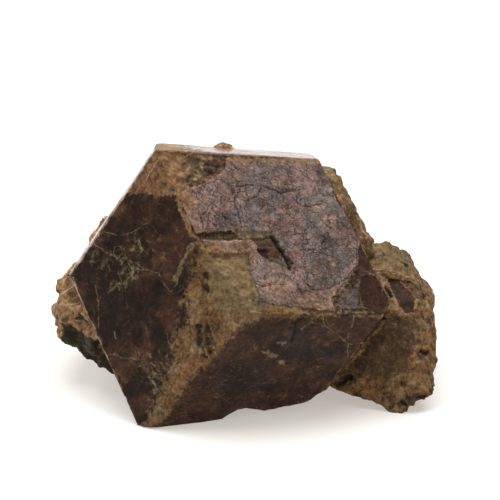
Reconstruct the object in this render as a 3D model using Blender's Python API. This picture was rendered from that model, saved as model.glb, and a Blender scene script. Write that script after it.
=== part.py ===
"""A garnet crystal, all one stone, modelled at its real size in metres with +Z up.

A large rhombic dodecahedron stands with its three-fold axis toward the front (-Y). A smaller garnet
has grown into its right side, sandy rind clings to its left side, and rough matrix closes its back.
The origin is under the middle of the stone, on the ground it stands on.
"""

import math
import random

import bmesh
import bpy
from mathutils import Matrix, Vector, noise

MM = 0.001

# Main garnet: centre of the dodecahedron, and how its three-fold axis lies.
GARNET_CENTRE = Vector((0.5, 0.2, 15.0)) * MM
AXIS_TURN_DEG = 2.3  # from the front toward +X
AXIS_RISE_DEG = 13.8  # above level
AXIS_ROLL_DEG = 115.1  # of the upper left corner, about the axis

# Crystal direction of each face, and its distance from the centre in millimetres.
FACES = {
    "front left": ((1, 0, 1), 23.0),
    "front upper": ((0, 1, 1), 19.5),
    "front lower": ((1, 1, 0), 21.2),
    "top": ((-1, 0, 1), 21.1),
    "right": ((-1, 1, 0), 18.4),
    "upper left": ((0, -1, 1), 24.6),
    "lower left": ((1, -1, 0), 24.2),
    "lower right": ((0, 1, -1), 18.1),
    "base": ((1, 0, -1), 21.0),
    "back left": ((-1, 0, -1), 19.5),
    "back lower": ((0, -1, -1), 17.0),
    "back upper": ((-1, -1, 0), 20.5),
}
BLOCK_SIZE = 90 * MM  # the rough block that the faces are cut from

# Sight line that outlines are laid along. An outline's spots are right and up, in millimetres, on
# the plane square to the sight line through the sight target.
SIGHT_TARGET = Vector((0.8, 0.2, 21.0)) * MM
SIGHT_RISE_DEG = 18.0
SIGHT_DISTANCE = 330.0 * MM

# Ledge where the plate on the front upper face has broken away above the band.
LEDGE_DEPTH = 0.9 * MM
LEDGE_OUTLINE = (
    (-16.0, 2.5), (-9.0, 2.5), (-2.9, 2.7), (-1.6, 1.6), (-0.2, -0.8), (0.3, -4.3), (1.3, -7.1),
    (2.4, -8.2), (5.5, -8.6), (7.9, -9.2), (13.5, -9.9), (14.0, -14.0), (-4.0, -18.0), (-18.0, -14.0),
)

# Worn patch at the upper left corner, where the plate is missing, and the same wear carried over
# onto the front left face.
PATCH_DEPTH = 0.6 * MM
PATCH_OUTLINE = (
    (-3.9, 19.0), (-3.8, 15.6), (-3.5, 14.3), (-4.0, 13.0), (-5.1, 11.9), (-6.8, 10.9),
    (-8.1, 10.3), (-10.0, 9.8), (-10.9, 9.2), (-12.6, 8.6), (-22.0, 9.0), (-22.0, 19.0),
)
SCUFF_DEPTH = 0.3 * MM
SCUFF_OUTLINE = (
    (-26.0, 9.6), (-19.0, 9.2), (-15.5, 8.5), (-11.4, 9.0), (-7.0, 9.4), (-7.0, 22.0), (-26.0, 22.0),
)

# Pit in the plate beside the ledge.
PIT_DEPTH = 0.8 * MM
PIT_OUTLINE = (
    (0.2, 1.9), (3.6, 2.1), (4.6, 0.6), (5.4, -0.5), (6.5, -1.9), (6.3, -2.9), (5.2, -2.2),
    (3.5, -1.9), (1.9, -1.0), (1.1, 0.6),
)

# Rough band that truncates the edge between the two lower front faces: three points on it.
BAND_POINTS = (
    ("front left", (-10.0, -6.3)),
    ("front lower", (-1.6, -12.0)),
    ("front left", (-14.7, -27.9)),
)

# Break that has taken the lower right corner: two points on its upper edge, its fall toward the
# back, and a chip beside it.
BREAK_EDGE = (("front lower", (-7.1, -28.6)), ("front lower", (13.5, -22.0)))
BREAK_FALL_DEG = 13.0
CHIP_SPOT = ("front lower", (-1.0, -27.3))

# Crumbs on the left rind and masses in the back matrix: place and size in millimetres.
RIND_CRUMBS = (
    ((-17.8, 6.2, 19.0), 7.0), ((-25.4, 8.2, 11.6), 5.0), ((-21.2, -2.8, 6.0), 3.8),
    ((-17.7, 11.2, 12.5), 6.5),
)
MATRIX_MASSES = (
    ((-11.2, 14.7, 7.0), 8.5), ((8.8, 15.7, 8.0), 8.0), ((15.3, 11.2, 16.0), 6.5),
    ((-3.2, 17.7, 15.0), 6.0), ((1.8, 17.2, 5.0), 7.0),
)

FLAT_SLACK = 0.002 * MM  # a corner this near a plane lies on it
SMALLEST_EDGE = 0.02 * MM


def crystal_frame():
    """Turns crystal directions into world directions."""
    turn, rise, roll = (math.radians(a) for a in (AXIS_TURN_DEG, AXIS_RISE_DEG, AXIS_ROLL_DEG))
    forward = math.cos(rise)
    axis = Vector((math.sin(turn) * forward, -math.cos(turn) * forward, math.sin(rise)))
    level = Vector((0, 0, 1)).cross(axis).normalized()
    corner = level * math.cos(roll) + axis.cross(level) * math.sin(roll)
    world = Matrix((corner, axis.cross(corner), axis)).transposed()
    three_fold = Vector((1, 1, 1)).normalized()
    four_fold = (Vector((0, 0, 1)) - three_fold * three_fold.z).normalized()
    crystal = Matrix((four_fold, three_fold.cross(four_fold), three_fold))
    return world @ crystal


CRYSTAL_FRAME = crystal_frame()


def face_plane(name, inset=0.0):
    """A point on a face of the main garnet, or under it, and the face's outward direction."""
    direction, distance = FACES[name]
    outward = (CRYSTAL_FRAME @ Vector(direction)).normalized()
    return GARNET_CENTRE + outward * (distance * MM - inset), outward


def sighted(spot, plane):
    """Where the sight line through a spot meets a plane."""
    rise = math.radians(SIGHT_RISE_DEG)
    forward = Vector((0, math.cos(rise), -math.sin(rise)))
    upward = Vector((0, math.sin(rise), math.cos(rise)))
    eye = SIGHT_TARGET - forward * SIGHT_DISTANCE
    ray = SIGHT_TARGET + Vector((spot[0] * MM, 0, 0)) + upward * spot[1] * MM - eye
    point, outward = plane
    return eye + ray * ((point - eye).dot(outward) / ray.dot(outward))


def band_plane():
    a, b, c = (sighted(spot, face_plane(face)) for face, spot in BAND_POINTS)
    outward = (b - a).cross(c - a).normalized()
    return a, outward if outward.y < 0 else -outward


def break_plane():
    first, last = (sighted(spot, face_plane(face)) for face, spot in BREAK_EDGE)
    fall = math.radians(BREAK_FALL_DEG)
    backward = Vector((0, math.cos(fall), -math.sin(fall)))
    outward = (last - first).cross(backward).normalized()
    return first, outward if outward.z < 0 else -outward


def rough(point, bump, seed):
    """Smooth noise from about -1 to 1 at a point in millimetres, in bumps of a given size."""
    return noise.fractal(point / bump + Vector((seed, seed * 0.7, -seed)), 1.0, 2.0, 3)


def new_object(name, bm):
    bmesh.ops.recalc_face_normals(bm, faces=bm.faces[:])
    mesh = bpy.data.meshes.new(name)
    bm.to_mesh(mesh)
    bm.free()
    thing = bpy.data.objects.new(name, mesh)
    bpy.context.scene.collection.objects.link(thing)
    return thing


def combine(body, other, operation):
    """Joins another solid to the body, or takes it away, and discards the other."""
    step = body.modifiers.new(operation.lower(), "BOOLEAN")
    step.operation = operation
    step.solver = "EXACT"
    step.object = other
    bpy.context.view_layer.update()
    result = body.evaluated_get(bpy.context.evaluated_depsgraph_get())
    mesh = bpy.data.meshes.new_from_object(result)
    body.modifiers.clear()
    body.data = mesh
    bpy.data.objects.remove(other)


def cut_away(bm, point, outward):
    """Cuts off what lies beyond a plane and closes the cut with one flat face."""
    geometry = bm.verts[:] + bm.edges[:] + bm.faces[:]
    cut = bmesh.ops.bisect_plane(
        bm, geom=geometry, dist=1e-7, plane_co=point, plane_no=outward, clear_outer=True
    )
    edges = [e for e in cut["geom_cut"] if isinstance(e, bmesh.types.BMEdge)]
    bmesh.ops.edgeloop_fill(bm, edges=edges)


def main_garnet():
    """The dodecahedron, with the band and the lower break cut off it."""
    bm = bmesh.new()
    bmesh.ops.create_cube(bm, size=BLOCK_SIZE, matrix=Matrix.Translation(GARNET_CENTRE))
    for name in FACES:
        cut_away(bm, *face_plane(name))
    cut_away(bm, *band_plane())
    cut_away(bm, *break_plane())
    return new_object("garnet_crystal", bm)


def sunk_outline(name, outline, depth, face="front upper", clear=4 * MM):
    """A block to take away: an outline sighted onto a face, sunk into it and clear above it."""
    plane = face_plane(face)
    bm = bmesh.new()
    ring = [bm.verts.new(sighted(spot, plane) - plane[1] * depth) for spot in outline]
    floor = bm.faces.new(ring)
    raised = bmesh.ops.extrude_face_region(bm, geom=[floor])
    top = [v for v in raised["geom"] if isinstance(v, bmesh.types.BMVert)]
    bmesh.ops.translate(bm, verts=top, vec=plane[1] * (depth + clear))
    return new_object(name, bm)


def held_within(out, limits):
    """Draws a spot back toward its lump's centre until it is inside every limit."""
    for direction, distance in limits:
        reach = out.dot(Vector(direction).normalized())
        if reach > distance:
            out = out * (distance / reach)
    return out


def lump(name, centre, radii, faces=(), blunt=(), bumpy=0.1, bump=6.0, seed=0.0, detail=4):
    """A rough mass, in millimetres. Faces stay flat; blunt facets are as rough as the rest.

    Each facet is a direction and its distance from the centre.
    """
    bm = bmesh.new()
    bmesh.ops.create_icosphere(bm, subdivisions=detail, radius=1.0)
    for v in bm.verts:
        out = held_within(Vector(a * b for a, b in zip(v.co, radii)), blunt)
        out *= 1 + bumpy * rough(out, bump, seed)
        v.co = (Vector(centre) + held_within(out, faces)) * MM
    return new_object(name, bm)


def broken_facets(seed, size):
    """Blunt facets at random slants, as a mass of matrix breaks."""
    pick = random.Random(seed)
    facets = []
    for _ in range(6):
        slant = Vector([pick.uniform(-1, 1) for _ in range(3)])
        facets.append((slant, size * pick.uniform(0.68, 0.9)))
    return facets


def side_garnet():
    """The smaller garnet on the right: flat faces to the front, broken ground elsewhere."""
    return lump(
        "side_garnet", (18.8, -0.8, 11.0), (17.5, 21.5, 19.0), bumpy=0.09, bump=5.0, seed=3.0,
        detail=5,
        faces=(
            ((-0.28, -0.92, 0.28), 10.0),
            ((0.55, -0.75, 0.35), 13.2),
            ((-0.55, -0.7, 0.45), 8.6),
        ),
        blunt=(
            ((0.0, -0.45, 0.89), 8.7),
            ((0.0, 0.5, 0.87), 10.9),
            ((0.78, 0.0, 0.63), 9.9),
            ((1.0, -0.05, 0.0), 11.0),
            ((0.74, 0.0, -0.67), 12.6),
            ((0.7, 0.7, 0.1), 13.0),
            ((0.0, 1.0, 0.1), 12.0),
            ((-0.26, 0.0, -0.965), 9.4),
        ),
    )


def right_growth():
    """A matt growth layer that swells the right face behind its front edge."""
    return lump(
        "right_growth", (7.3, 5.2, 22.0), (15.0, 12.5, 14.0), bumpy=0.12, bump=5.0, seed=61.0,
        faces=((face_plane("top")[1], 11.2),),
        blunt=((face_plane("right")[1], 10.3), (face_plane("back upper")[1], 12.0)),
    )


def left_rind():
    """Sandy rind on the two left faces: a broad mass, a knob above it and crumbs round them."""
    rind = lump(
        "left_rind", (-20.8, 2.2, 9.6), (9.2, 10.5, 9.3), bumpy=0.2, bump=3.5, seed=11.0,
        blunt=(((-0.56, 0.0, -0.83), 6.1), ((-0.8, 0.6, 0.1), 8.5)),
    )
    for index, (spot, size) in enumerate(RIND_CRUMBS):
        radii = (size, size * 1.15, size * 0.9)
        crumb = lump("crumb", spot, radii, bumpy=0.25, bump=2.5, seed=71.0 + index, detail=3)
        combine(rind, crumb, "UNION")
    return rind


def back_matrix():
    """Rough matrix behind and below the main garnet, in several overlapping masses."""
    matrix = lump(
        "back_matrix", (0.8, 10.2, 10.0), (21.0, 13.0, 12.5), bumpy=0.22, bump=6.0, seed=21.0,
        blunt=(((0.1, 0.9, 0.5), 11.0), ((-0.5, 0.8, 0.2), 13.0), ((0.7, 0.7, 0.3), 13.5)),
    )
    for index, (spot, size) in enumerate(MATRIX_MASSES):
        radii = (size * 1.2, size, size * 0.85)
        mass = lump(
            "mass", spot, radii, blunt=broken_facets(index, size), bumpy=0.2, bump=3.5,
            seed=81.0 + index, detail=3,
        )
        combine(matrix, mass, "UNION")
    return matrix


def top_knob():
    """A small crumb of matrix stuck on the top face."""
    return lump("top_knob", (-3.2, 6.7, 35.4), (1.9, 1.6, 1.5), bumpy=0.2, bump=1.5, detail=2)


def edge_chip():
    """A chip to take out of the lower front edge."""
    face, spot = CHIP_SPOT
    place = sighted(spot, face_plane(face)) / MM
    return lump("edge_chip", place, (3.0, 3.0, 2.4), bumpy=0.15, bump=2.0, seed=17.0, detail=2)


def base_hollow():
    """A shallow rough hollow to take out of the underside; it leaves a rim to stand on."""
    return lump("base_hollow", (0.8, -0.3, -0.5), (17.0, 12.0, 3.0), bumpy=0.25, seed=31.0, detail=3)


def ground_block():
    """All that lies below the ground, to cut the stone off flat."""
    bm = bmesh.new()
    place = Matrix.Translation(Vector((0, 0, -BLOCK_SIZE / 2)))
    bmesh.ops.create_cube(bm, size=BLOCK_SIZE, matrix=place)
    return new_object("ground_block", bm)


def flat_region(bm, plane):
    point, outward = plane
    return [f for f in bm.faces if all(abs((v.co - point).dot(outward)) < FLAT_SLACK for v in f.verts)]


def roughen(body, plane, height, spacing, seed, bump=3.0):
    """Breaks one flat face of the body into rough ground; its border stays where it is."""
    bm = bmesh.new()
    bm.from_mesh(body.data)
    bmesh.ops.triangulate(bm, faces=flat_region(bm, plane))
    while True:
        edges = {e for f in flat_region(bm, plane) for e in f.edges if e.calc_length() > spacing}
        if not edges:
            break
        bmesh.ops.subdivide_edges(bm, edges=list(edges), cuts=1)
        bmesh.ops.triangulate(bm, faces=[f for f in bm.faces if len(f.verts) > 3])
    region = set(flat_region(bm, plane))
    inner = [v for v in bm.verts if v.link_faces and all(f in region for f in v.link_faces)]
    for v in inner:
        v.co += plane[1] * height * rough(v.co / MM, bump, seed)
    bm.to_mesh(body.data)
    bm.free()


def clean_surface(body):
    bm = bmesh.new()
    bm.from_mesh(body.data)
    bmesh.ops.remove_doubles(bm, verts=bm.verts[:], dist=SMALLEST_EDGE)
    bmesh.ops.dissolve_degenerate(bm, edges=bm.edges[:], dist=SMALLEST_EDGE)
    bmesh.ops.triangulate(bm, faces=bm.faces[:])
    bm.to_mesh(body.data)
    bm.free()


def stone_material():
    material = bpy.data.materials.new("garnet_stone")
    material.use_nodes = True
    shader = material.node_tree.nodes["Principled BSDF"]
    shader.inputs["Base Color"].default_value = (0.11, 0.055, 0.035, 1)
    shader.inputs["Roughness"].default_value = 0.45
    shader.inputs["Metallic"].default_value = 0.0
    return material


def garnet_crystal():
    body = main_garnet()
    combine(body, sunk_outline("ledge", LEDGE_OUTLINE, LEDGE_DEPTH), "DIFFERENCE")
    combine(body, sunk_outline("patch", PATCH_OUTLINE, PATCH_DEPTH), "DIFFERENCE")
    combine(body, sunk_outline("pit", PIT_OUTLINE, PIT_DEPTH), "DIFFERENCE")
    combine(body, sunk_outline("scuff", SCUFF_OUTLINE, SCUFF_DEPTH, "front left"), "DIFFERENCE")
    combine(body, edge_chip(), "DIFFERENCE")
    roughen(body, band_plane(), 0.45 * MM, 1.6 * MM, seed=41.0)
    roughen(body, face_plane("front upper", LEDGE_DEPTH), 0.25 * MM, 1.8 * MM, seed=43.0)
    roughen(body, face_plane("front upper", PATCH_DEPTH), 0.35 * MM, 1.8 * MM, seed=47.0)
    roughen(body, face_plane("front left", SCUFF_DEPTH), 0.25 * MM, 2.0 * MM, seed=59.0)
    roughen(body, break_plane(), 0.6 * MM, 2.2 * MM, seed=53.0)
    for grown in (side_garnet(), left_rind(), right_growth(), top_knob(), back_matrix()):
        combine(body, grown, "UNION")
    combine(body, base_hollow(), "DIFFERENCE")
    combine(body, ground_block(), "DIFFERENCE")
    clean_surface(body)
    body.data.materials.clear()
    body.data.materials.append(stone_material())


def main():
    for thing in list(bpy.data.objects):
        bpy.data.objects.remove(thing)
    garnet_crystal()


main()
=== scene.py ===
"""Looks of the garnet crystal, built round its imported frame. Metres, +Z up."""

import math
import random
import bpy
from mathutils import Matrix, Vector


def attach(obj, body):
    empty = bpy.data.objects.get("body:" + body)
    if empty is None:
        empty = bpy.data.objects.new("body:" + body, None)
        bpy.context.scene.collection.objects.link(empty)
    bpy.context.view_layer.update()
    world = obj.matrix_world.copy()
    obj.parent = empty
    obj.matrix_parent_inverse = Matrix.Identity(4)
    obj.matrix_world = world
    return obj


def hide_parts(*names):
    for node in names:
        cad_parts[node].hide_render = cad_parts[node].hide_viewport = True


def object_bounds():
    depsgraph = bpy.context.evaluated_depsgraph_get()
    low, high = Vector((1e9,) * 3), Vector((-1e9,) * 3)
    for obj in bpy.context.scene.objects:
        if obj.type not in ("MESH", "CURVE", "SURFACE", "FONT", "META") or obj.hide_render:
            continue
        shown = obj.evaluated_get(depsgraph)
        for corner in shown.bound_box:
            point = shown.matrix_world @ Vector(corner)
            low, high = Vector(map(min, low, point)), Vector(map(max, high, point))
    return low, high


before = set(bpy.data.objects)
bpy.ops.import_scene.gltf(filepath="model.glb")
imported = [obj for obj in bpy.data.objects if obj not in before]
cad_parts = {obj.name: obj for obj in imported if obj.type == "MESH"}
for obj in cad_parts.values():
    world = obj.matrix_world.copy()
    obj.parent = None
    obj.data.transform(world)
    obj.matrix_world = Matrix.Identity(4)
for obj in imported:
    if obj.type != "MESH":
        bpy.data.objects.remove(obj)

from types import SimpleNamespace

import bmesh
import bpy
import numpy as np
from mathutils import Matrix, Vector, noise

CAD_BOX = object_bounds()
NODE = "garnet_crystal"
MM = 0.001

# ---------------------------------------------------------------- the stone's own dimensions

GARNET_CENTRE = Vector((0.5, 0.2, 15.0)) * MM
AXIS_TURN_DEG = 2.3
AXIS_RISE_DEG = 13.8
AXIS_ROLL_DEG = 115.1
FACES = {  # crystal direction, and distance from the centre in millimetres
    "front left": ((1, 0, 1), 23.0),
    "front upper": ((0, 1, 1), 19.5),
    "front lower": ((1, 1, 0), 21.2),
    "top": ((-1, 0, 1), 21.1),
    "right": ((-1, 1, 0), 18.4),
    "upper left": ((0, -1, 1), 24.6),
    "lower left": ((1, -1, 0), 24.2),
    "lower right": ((0, 1, -1), 18.1),
    "base": ((1, 0, -1), 21.0),
    "back left": ((-1, 0, -1), 19.5),
    "back lower": ((0, -1, -1), 17.0),
    "back upper": ((-1, -1, 0), 20.5),
}
BLOCK_SIZE = 90 * MM

# The drawing grid: 500 squares each way over the view from the eye, counted from the top left.
SIGHT_TARGET = Vector((0.8, 0.2, 21.0)) * MM
SIGHT_RISE_DEG = 18.0
SIGHT_DISTANCE = 330.0 * MM
LENS = 150.0
SENSOR = 36.0
GRID = 500.0
SQUARES_PER_SLOPE = GRID * LENS / SENSOR  # squares for each unit of sideways over forward
MM_PER_SQUARE = SIGHT_DISTANCE / MM / SQUARES_PER_SLOPE  # at the sight target

BAND_SPOTS = (("front left", (187, 290)), ("front lower", (240, 326)), ("front left", (157, 426)))
BREAK_SPOTS = (("front lower", (205, 430.5)), ("front lower", (335, 389)))
BREAK_FALL_DEG = 13.0

# Outlines on the drawing grid.
TORN_EDGE = (
    (338, 312), (312, 309), (287, 306), (268, 303), (260, 297), (255, 283), (252, 275), (248, 263),
    (249, 253), (247, 241), (239, 237), (231, 230.5), (208, 232), (194, 233),
)
PLATE = (
    (228, 158), (322, 158), (327, 173), (332, 188), (339, 203), (348, 218), (355, 232), (361, 245),
    (360, 256), (356, 267), (350, 277), (341, 287), (333, 297), *TORN_EDGE, (190, 225), (186, 213),
    (181, 202), (181, 192), (187, 188), (199, 185), (207, 181), (218, 175), (225, 168),
)
LEDGE = ((165, 232), *reversed(TORN_EDGE), (338, 330), (225, 345), (150, 330))
SHELF = ((204, 239), (247, 241), (250, 251), (246, 255), (207, 252))
# The slot under the plate's edge: sunk, with a little painted shade in it.
SLOT_UNDER_PLATE = ((189, 234), (208, 230), (231, 229.5), (240, 236), (231, 238), (207, 238), (195, 242))
PIT = (
    (251, 238), (273, 236), (279, 246), (285, 254), (293, 263), (291, 271), (283, 265), (272, 262),
    (262, 256), (257, 246),
)
PIT_BLOCK = ((253, 240), (269, 240), (270, 250), (258, 249))
# The hole in the pit: sunk, and painted dark as shade.
PIT_HOLE = ((257, 249), (268, 249), (270, 259), (262, 256))
ROUGH_STRIP = ((235, 231), (250, 231.5), (272, 231.5), (275, 237), (254, 240), (240, 239.5))
MARK_CLUSTER = ((199, 326), (212, 325), (214, 345), (217, 356), (205, 363), (193, 357), (196, 340))
SMUDGE = ((202, 273), (209, 272), (211, 295), (203, 297))
RED_CORNER = ((300, 316), (389, 306), (372, 331), (345, 345), (318, 346), (304, 334))
BRIGHT_TOP = (
    (178, 148.5), (200, 151), (215, 156), (228, 160), (330, 162), (326, 150), (290, 147), (262, 145),
    (240, 141), (214, 143), (206, 147),
)
HAZE = (
    (88, 240), (104, 240), (122, 248), (134, 232), (148, 224), (156, 236), (148, 262), (128, 287),
    (108, 293), (96, 270),
)
LOWER_HAZE = ((136, 352), (160, 350), (176, 372), (170, 398), (156, 412), (140, 384))
LOWER_EDGE = ((145, 428.5), (246, 417), (335, 389))
BROKEN_EDGE = (
    (145, 428.5), (204, 421.8), (222, 419), (231, 413), (238, 409.5), (245, 407.5), (253, 408),
    (261, 410), (275, 409), (292, 405.5), (303, 402), (311, 399), (319, 393.5), (328, 390.5),
    (335, 389),
)
FLOOR_GROUND = (
    (205, 250), (246, 254), (250, 268), (255, 284), (262, 300), (258, 312), (222, 316), (208, 300),
    (203, 270),
)
PURPLE_PARTS = (
    ((288, 332), (318, 326), (344, 348), (338, 362), (300, 366), (282, 352)),
    ((212, 376), (262, 366), (266, 392), (224, 404)),
)
STREAKED_FACET = ((337, 296), (347, 287), (360, 288), (358, 309), (336, 310))
BARE_PATCH = ((205, 157), (228, 158), (227, 168), (219, 174), (208, 177), (203, 168))
PATCH_DARK = ((184, 158), (206, 157), (216, 164), (210, 173), (198, 178), (186, 181), (178, 172))
# Painted shade: a dark line at the step where the plate's lower lobe rises from the recessed floor.
PANEL_STEP_SHADE = ((((236, 256), (247, 261), (251, 275), (253, 290), (254, 303)), 1.2),)
PATCH = (
    (225, 130), (226, 151), (228, 160), (225, 168), (218, 175), (207, 181), (199, 185), (187, 188),
    (181, 192), (170, 196), (110, 194), (110, 130),
)
SCUFF = ((100, 189), (130, 192), (152, 196), (178, 193), (206, 190), (206, 110), (100, 110))
TAN_GROUND = (
    (192, 236), (231, 231), (240, 240), (249, 255), (248, 263), (252, 275), (255, 283), (260, 297),
    (268, 303), (287, 306), (312, 309), (337, 312), (335, 317), (300, 317), (262, 317), (240, 326),
    (230, 337), (218, 353), (208, 367), (190, 379), (179, 395), (172, 410), (163, 421), (150, 430),
    (143, 425), (154, 410), (158, 398), (168, 382), (177, 370), (175, 352), (172, 334), (185, 327),
    (189, 310), (187, 292), (192, 272), (199, 252),
)
CORNER_GROUND = (
    (331, 299), (341, 287), (351, 276), (358, 264), (359, 243), (366, 250), (371, 264), (379, 281),
    (391, 307), (372, 315), (336, 314),
)
CORNER_FACETS = (
    ((356, 277), (372, 274), (379, 284), (388, 303), (379, 313), (361, 302), (359, 290)),
    ((338, 300), (347, 288), (358, 287), (355, 302), (344, 311)),
    ((358, 243), (364, 248), (369, 262), (371, 270), (361, 272)),
)
FLOOR_PANEL = ((206, 256), (246, 256), (251, 268), (253, 284), (255, 298), (214, 299), (207, 280))

# Lines on the drawing grid, each with its width in squares.
PLATE_CRACKS = (
    (((273, 235), (277, 243), (285, 255), (292, 268), (297, 282), (303, 296)), 0.5),
    (((232, 187), (234, 198), (236, 207), (240, 218), (242, 228)), 0.7),
    (((238, 187), (250, 185), (262, 186), (274, 190), (281, 193), (293, 190)), 0.6),
    (((302, 279), (313, 290), (330, 288), (343, 281), (350, 273), (356, 267)), 0.3),
    (((206, 211), (201, 218), (204, 230)), 0.3),
    (((246, 187), (249, 202)), 0.3),
    (((262, 187), (258, 196), (252, 199)), 0.6),
    (((296, 193), (297, 204), (309, 207), (322, 204)), 0.2),
    (((309, 226), (305, 233), (303, 241)), 0.3),
    (((320, 235), (325, 238), (322, 245)), 0.5),
    (((300, 250), (318, 250), (332, 247)), 0.2),
    (((252, 282), (262, 287), (275, 284), (281, 276)), 0.2),
    (((222, 196), (220, 209), (226, 219)), 0.2),
)
PIT_CRACK = ((((272, 236), (278, 244), (285, 255), (291, 267)), 1.6),)
BLACK_MARKS = (
    (((205.5, 275), (205, 283), (206, 291)), 6.2),
    (((199.5, 326), (199.5, 345)), 4.6),
    (((207.5, 327), (208, 343)), 6.0),
    (((202, 356.5), (212, 351)), 4.0),
)
FACE_VEINS = (
    (((93, 244), (104, 251), (112, 255), (117, 259), (126, 258)), 0.5),
    (((114, 247), (121, 246), (122, 254), (117, 258), (113, 254), (114, 247)), 0.3),
    (((113, 258), (109, 266), (110, 271)), 0.4),
    (((126, 259), (132, 269), (133, 273), (126, 281), (120, 283), (112, 289)), 0.4),
    (((139, 240), (142, 252), (136, 257)), 0.6),
    (((95, 284), (97, 294), (98, 303), (98, 328)), 0.3),
    (((106, 356), (114, 354), (122, 358), (136, 359), (148, 362)), 0.3),
    (((136, 348), (141, 357), (145, 371), (149, 377), (158, 390), (165, 398)), 0.3),
    (((158, 273), (165, 285), (171, 292), (176, 284), (178, 277)), 0.3),
    (((104, 232), (122, 236), (138, 229), (148, 222)), 0.2),
    (((126, 258), (134, 252), (139, 240)), 0.3),
    (((132, 269), (146, 270), (158, 273)), 0.2),
    (((150, 247), (156, 252), (170, 254)), 0.2),
    (((167, 334), (168, 342), (172, 346)), 0.3),
    (((165, 398), (152, 404), (146, 412)), 0.3),
    (((150, 362), (160, 372), (163, 385), (172, 396)), 0.3),
)
CORNER_SEAMS = (
    (((354, 269), (366, 273), (377, 277), (386, 282), (391, 292), (392, 303)), 1.4),
    (((345, 290), (352, 287), (358, 287), (361, 277), (366, 274)), 1.2),
    (((359, 289), (361, 302), (366, 309)), 0.8),
    (((334, 312), (352, 313), (372, 312)), 1.0),
)
LOWER_VEINS = (
    (((320, 324), (332, 331), (341, 337), (348, 344), (361, 344), (366, 342)), 0.6),
    (((355, 315), (353, 323), (348, 336), (348, 345), (347, 362)), 0.5),
    (((322, 313), (325, 326), (336, 334)), 0.5),
    (((301, 330), (312, 322), (322, 325)), 0.3),
)
LOWER_FLECKS = (
    (((264, 352), (269, 354), (275, 355)), 4.2),
    (((277, 343.5), (286, 343)), 2.0),
    (((281, 361), (284, 365)), 3.6),
    (((113, 332), (117, 337)), 1.4),
    (((91, 262), (94, 262)), 1.2),
)
LOWER_CRACK = ((((303, 319), (296, 322), (295, 331), (292, 342)), 1.8),)
PALE_BANDS = ((((195, 243), (187, 251), (184, 261), (179, 271), (176, 280)), 3.2),)
EDGE_STRIPS = (
    (((177, 192), (179, 204), (184, 216), (188, 227), (191, 236)), 3.5),
    (((228, 159), (270, 159.5), (320, 161)), 1.5),
)
# Painted highlight: a thin tan line along the lower right edge, where it catches the light.
CORNER_EDGE_HIGHLIGHT = ((((386, 309), (372, 329), (352, 355), (336, 375), (322, 391)), 0.3),)
TOP_LINES = (
    (((190, 147.8), (260, 152.2), (310, 155.6)), 0.4),
    (((180, 149.5), (230, 152), (290, 156)), 0.4),
)
# Painted highlights: pale lines along the crystal's left edges, where the edges catch the light.
EDGE_HIGHLIGHTS = (
    (((153, 147), (134, 178), (110, 215), (86, 250)), 3.6),
    (((86, 250), (71, 274)), 2.0),
    (((72, 278), (82, 303), (96, 335), (108, 360)), 0.5),
)
# Painted highlights on the shelf's top edge and on a ridge by the top left corner.
HIGHLIGHT_LINES = (
    (((206, 238.5), (224, 239), (243, 240)), 0.8),
    (((160, 153), (153, 165), (144, 181)), 0.3),
)
BLUSH = (
    ((226, 156), (326, 156), (328, 163), (290, 165), (250, 164), (226, 166)),
    ((180, 190), (194, 187), (198, 205), (200, 232), (190, 234)),
    ((252, 262), (276, 268), (292, 284), (290, 300), (268, 306), (254, 292)),
    ((290, 296), (350, 282), (346, 300), (338, 314), (290, 308)),
)
PLATE_TIP = ((178, 191), (190, 188), (197, 198), (192, 214), (184, 208))
FOOT_STAIN = ((186, 352), (214, 354), (208, 372), (188, 382), (176, 398), (164, 396))


# ---------------------------------------------------------------- crystal planes and the eye


def crystal_frame():
    """Turns crystal directions into world directions."""
    turn, rise, roll = (math.radians(a) for a in (AXIS_TURN_DEG, AXIS_RISE_DEG, AXIS_ROLL_DEG))
    forward = math.cos(rise)
    axis = Vector((math.sin(turn) * forward, -math.cos(turn) * forward, math.sin(rise)))
    level = Vector((0, 0, 1)).cross(axis).normalized()
    corner = level * math.cos(roll) + axis.cross(level) * math.sin(roll)
    world = Matrix((corner, axis.cross(corner), axis)).transposed()
    three_fold = Vector((1, 1, 1)).normalized()
    four_fold = (Vector((0, 0, 1)) - three_fold * three_fold.z).normalized()
    return world @ Matrix((four_fold, three_fold.cross(four_fold), three_fold))


CRYSTAL_FRAME = crystal_frame()
RISE = math.radians(SIGHT_RISE_DEG)
FORWARD = Vector((0, math.cos(RISE), -math.sin(RISE)))
UPWARD = Vector((0, math.sin(RISE), math.cos(RISE)))
EYE = SIGHT_TARGET - FORWARD * SIGHT_DISTANCE


def face_plane(name):
    direction, distance = FACES[name]
    outward = (CRYSTAL_FRAME @ Vector(direction)).normalized()
    return GARNET_CENTRE + outward * distance * MM, outward


def sighted(square, plane):
    """Where the sight line through a square of the drawing grid meets a plane."""
    right = (square[0] - GRID / 2) / SQUARES_PER_SLOPE
    up = (GRID / 2 - square[1]) / SQUARES_PER_SLOPE
    ray = FORWARD + Vector((right, 0, 0)) + UPWARD * up
    point, outward = plane
    return EYE + ray * ((point - EYE).dot(outward) / ray.dot(outward))


def on_grid(places):
    """The drawing grid squares at which places are seen from the eye."""
    out = places - np.array(EYE)
    depth = out @ np.array(FORWARD)
    right = GRID / 2 + SQUARES_PER_SLOPE * out[:, 0] / depth
    down = GRID / 2 - SQUARES_PER_SLOPE * (out @ np.array(UPWARD)) / depth
    return np.stack((right, down), axis=1)


def band_plane():
    a, b, c = (sighted(square, face_plane(face)) for face, square in BAND_SPOTS)
    outward = (b - a).cross(c - a).normalized()
    return a, outward if outward.y < 0 else -outward


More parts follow.
